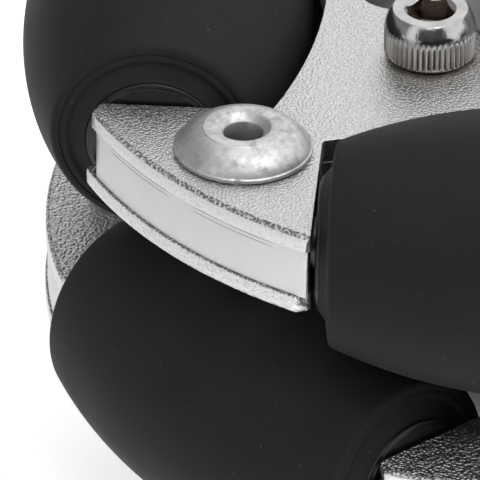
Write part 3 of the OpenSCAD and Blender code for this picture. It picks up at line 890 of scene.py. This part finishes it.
def tread_part():
    """The rubber barrel, a closed ring profile round the core."""
    rim_z = tread_half - rim_r
    rim_x = math.sqrt((wheel_r - rim_r) ** 2 - rim_z ** 2) - pin_circle_r
    lean = math.atan2(rim_z, rim_x + pin_circle_r)
    end, lip_r = tread_over / 2, core_r + lip_w
    half = [(core_r, 0), (core_r, key_z - key_w / 2), (core_r - key_depth, key_z - key_w / 2),
            (core_r - key_depth, key_z + key_w / 2), (core_r, key_z + key_w / 2)]
    half += [(core_r, end - 0.10 * MM), (core_r + 0.04 * MM, end - 0.02 * MM),
             (core_r + 0.10 * MM, end), (lip_r - 0.06 * MM, end - 0.04 * MM),
             (lip_r, end - 0.14 * MM), (lip_r + 0.15 * MM, end - 0.20 * MM)]
    bead_z = tread_half - bead_drop
    half += [(rim_x - bead_w * (1 - t), bead_z + bead_h * math.sin(math.pi * t) ** 2)
             for t in (i / 16 for i in range(16))]
    half += arc(rim_x, rim_z, rim_r, math.pi / 2, lean, 10)
    flank = (lean * (1 - i / 30) for i in range(1, 30))
    half += [(wheel_r * math.cos(a) - pin_circle_r, wheel_r * math.sin(a)) for a in flank]
    crown = [(roller_r, 0)]
    return revolve(half + crown + [(r, -z) for r, z in half[:0:-1]], TREAD_SIDES, closed=True)


def core_part():
    """The plastic core with its bushes' seats; a closed ring profile."""
    end, bore, slope_r = core_len / 2, pin_r + bore_gap, core_r - core_slope
    half = [(bore, 0), (bore, end - bush_len), (bush_r, end - bush_len),
            (bush_r, end - core_edge), (bush_r + core_edge, end), (slope_r, end),
            (slope_r + slope_drop, end - slope_drop),
            (core_r - slope_drop, end - 2 * slope_drop), (core_r, end - core_edge),
            (core_r, key_z + key_w / 2), (core_r - key_depth, key_z + key_w / 2),
            (core_r - key_depth, key_z - key_w / 2), (core_r, key_z - key_w / 2)]
    return revolve(half + [(r, -z) for r, z in half[:0:-1]], CORE_SIDES, closed=True)


tread, core = tread_part(), core_part()
for row in ROWS:
    for k in range(1, LOBES + 1):
        place, body = roller_matrix(row, k), f"{row}_roller_{k}"
        add_piece(f"{row}_barrel_{k}", copies(tread, [place]), body, "rubber",
                  [f"{row}_tread_{k}"], crease=50)
        add_piece(f"{row}_roller_core_{k}", copies(core, [place]), body, "core_plastic",
                  [f"{row}_core_{k}"])


# ---- floor, light and camera -------------------------------------------------

SHOWN = ("Is Camera Ray", "Is Glossy Ray", "Is Transmission Ray")
FLOOR_W = 16.0
FLOOR_GLOW = 0.75                         # brings the floor to white where it is seen
FLOOR_FADE = (-0.125, -0.02)              # its reflection brightens here, right of the axle
FADED_GLOW = 0.27                         # glow of that reflection left of there
ROOM_LIGHT = 0.55                         # what the white room sheds on the object
LIT_FROM = -41.6                          # azimuth that the lights are set by, in degrees


def towards_point(azimuth, elevation):
    """The direction from the origin to there; angles in degrees."""
    a, e = math.radians(azimuth), math.radians(elevation)
    return Vector((math.cos(a) * math.cos(e), math.sin(a) * math.cos(e), math.sin(e)))


def any_ray(tree, *names):
    """A socket that is 1 for any of these kinds of ray."""
    path = tree.nodes.new("ShaderNodeLightPath")
    total = path.outputs[names[0]]
    for name in names[1:]:
        node = tree.nodes.new("ShaderNodeMath")
        node.operation = "MAXIMUM"
        tree.links.new(total, node.inputs[0])
        tree.links.new(path.outputs[name], node.inputs[1])
        total = node.outputs[0]
    return total


def studio_floor():
    """White where it is seen, with the object's shadow on it, and dimmer on the left
    where the metal mirrors it."""
    s = Shader("studio_floor", Base_Color=(0.85, 0.85, 0.85, 1), Roughness=0.9,
               Specular_IOR_Level=0.0)
    tree = s.material.node_tree
    across = s.add("ShaderNodeVectorMath", operation="DOT_PRODUCT")
    s.put(across.inputs[0], s.place)
    s.put(across.inputs[1], towards_point(LIT_FROM + 90, 0))
    mirrored = s.span(across.outputs["Value"], *FLOOR_FADE, FADED_GLOW, 1.0)
    glow = s.add("ShaderNodeEmission")
    s.put(glow.inputs["Strength"],
          s.span(any_ray(tree, "Is Camera Ray"), 0.0, 1.0, mirrored, FLOOR_GLOW))
    lit_up = s.add("ShaderNodeAddShader")
    s.put(lit_up.inputs[0], s.bsdf.outputs[0])
    s.put(lit_up.inputs[1], glow.outputs[0])
    mix = s.add("ShaderNodeMixShader")
    s.put(mix.inputs[0], any_ray(tree, *SHOWN))
    s.put(mix.inputs[1], s.bsdf.outputs[0])
    s.put(mix.inputs[2], lit_up.outputs[0])
    s.put(s.nodes["Material Output"].inputs["Surface"], mix.outputs[0])
    return s


def white_room():
    """A world that is white where it is seen and lights the object less than that."""
    world = bpy.data.worlds.new("studio")
    bpy.context.scene.world = world
    world.use_nodes = True
    tree = world.node_tree
    background = tree.nodes["Background"]
    background.inputs["Color"].default_value = (1, 1, 1, 1)
    level = tree.nodes.new("ShaderNodeMapRange")
    level.inputs["To Min"].default_value = ROOM_LIGHT
    level.inputs["To Max"].default_value = 1.0
    tree.links.new(any_ray(tree, *SHOWN), level.inputs["Value"])
    tree.links.new(level.outputs["Result"], background.inputs["Strength"])


def soft_light(name, azimuth, elevation, distance, size, power):
    """A square lamp facing the object."""
    direction = towards_point(azimuth, elevation)
    data = bpy.data.lights.new(name, "AREA")
    data.shape, data.size, data.energy = "SQUARE", size, power
    lamp = bpy.data.objects.new(name, data)
    lamp.location = direction * distance
    lamp.rotation_euler = direction.to_track_quat("Z", "Y").to_euler()
    lamp.visible_camera = False
    bpy.context.scene.collection.objects.link(lamp)


def dim_screen(name, azimuths, elevations, distance, level):
    """A part of the room dimmer than the rest: a patch of a large sphere, mottled so
    that its reflections aren't flat."""
    steps = 12
    mesh = bpy.data.meshes.new(name)
    points = [towards_point(azimuths[0] + (azimuths[1] - azimuths[0]) * i / steps,
                            elevations[0] + (elevations[1] - elevations[0]) * j / steps)
              * distance for i in range(steps + 1) for j in range(steps + 1)]
    row = steps + 1
    faces = [(i * row + j, (i + 1) * row + j, (i + 1) * row + j + 1, i * row + j + 1)
             for i in range(steps) for j in range(steps)]
    mesh.from_pydata(points, [], faces)
    screen = bpy.data.objects.new(name, mesh)
    screen.visible_camera = False
    bpy.context.scene.collection.objects.link(screen)
    s = Shader(name, Base_Color=(0, 0, 0, 1), Specular_IOR_Level=0.0, Emission_Strength=1.0)
    tone = s.blend(s.noise(0.5), grey(0.9 * level), grey(1.1 * level))
    s.put(s.bsdf.inputs["Emission Color"], tone)
    mesh.materials.append(s.material)


floor_z = cad_bounds[0][2]
bpy.ops.mesh.primitive_plane_add(size=FLOOR_W, location=(0, 0, floor_z))
floor = bpy.context.object
floor.name = "studio_floor"
floor.data.materials.append(studio_floor().material)

white_room()
soft_light("key_light", LIT_FROM + 45, 70, distance=1.6, size=1.0, power=4.5)
dim_screen("left_screen", (LIT_FROM - 165, LIT_FROM - 60), (0, 62), distance=5.0, level=0.27)
dim_screen("camera_screen", (LIT_FROM - 34, LIT_FROM + 42), (0, 46), distance=4.6, level=0.08)

VIEW_AZIMUTH = -41.533                    # degrees, as the next two
VIEW_ELEVATION = 31.402
VIEW_ROLL = 0.681
VIEW_DISTANCE = 1.9
VIEW_TARGET = Vector((11.803, -51.104, 15.7)) * MM
VIEW_LENS = 1565.4                        # millimetres, as the sensor
SENSOR_W = 36

towards = towards_point(VIEW_AZIMUTH, VIEW_ELEVATION)
level_right = (-towards).cross(Vector((0, 0, 1))).normalized()
level_up = level_right.cross(-towards)
roll = math.radians(VIEW_ROLL)
right = math.cos(roll) * level_right + math.sin(roll) * level_up
up = math.cos(roll) * level_up - math.sin(roll) * level_right
camera_data = bpy.data.cameras.new("camera")
camera_data.sensor_width = SENSOR_W
camera_data.lens = VIEW_LENS
camera = bpy.data.objects.new("camera", camera_data)
camera.matrix_world = Matrix.Translation(VIEW_TARGET + towards * VIEW_DISTANCE) @ Matrix(
    (right, up, towards)).transposed().to_4x4()
bpy.context.scene.collection.objects.link(camera)
bpy.context.scene.camera = camera
bpy.context.scene.view_settings.view_transform = "Standard"
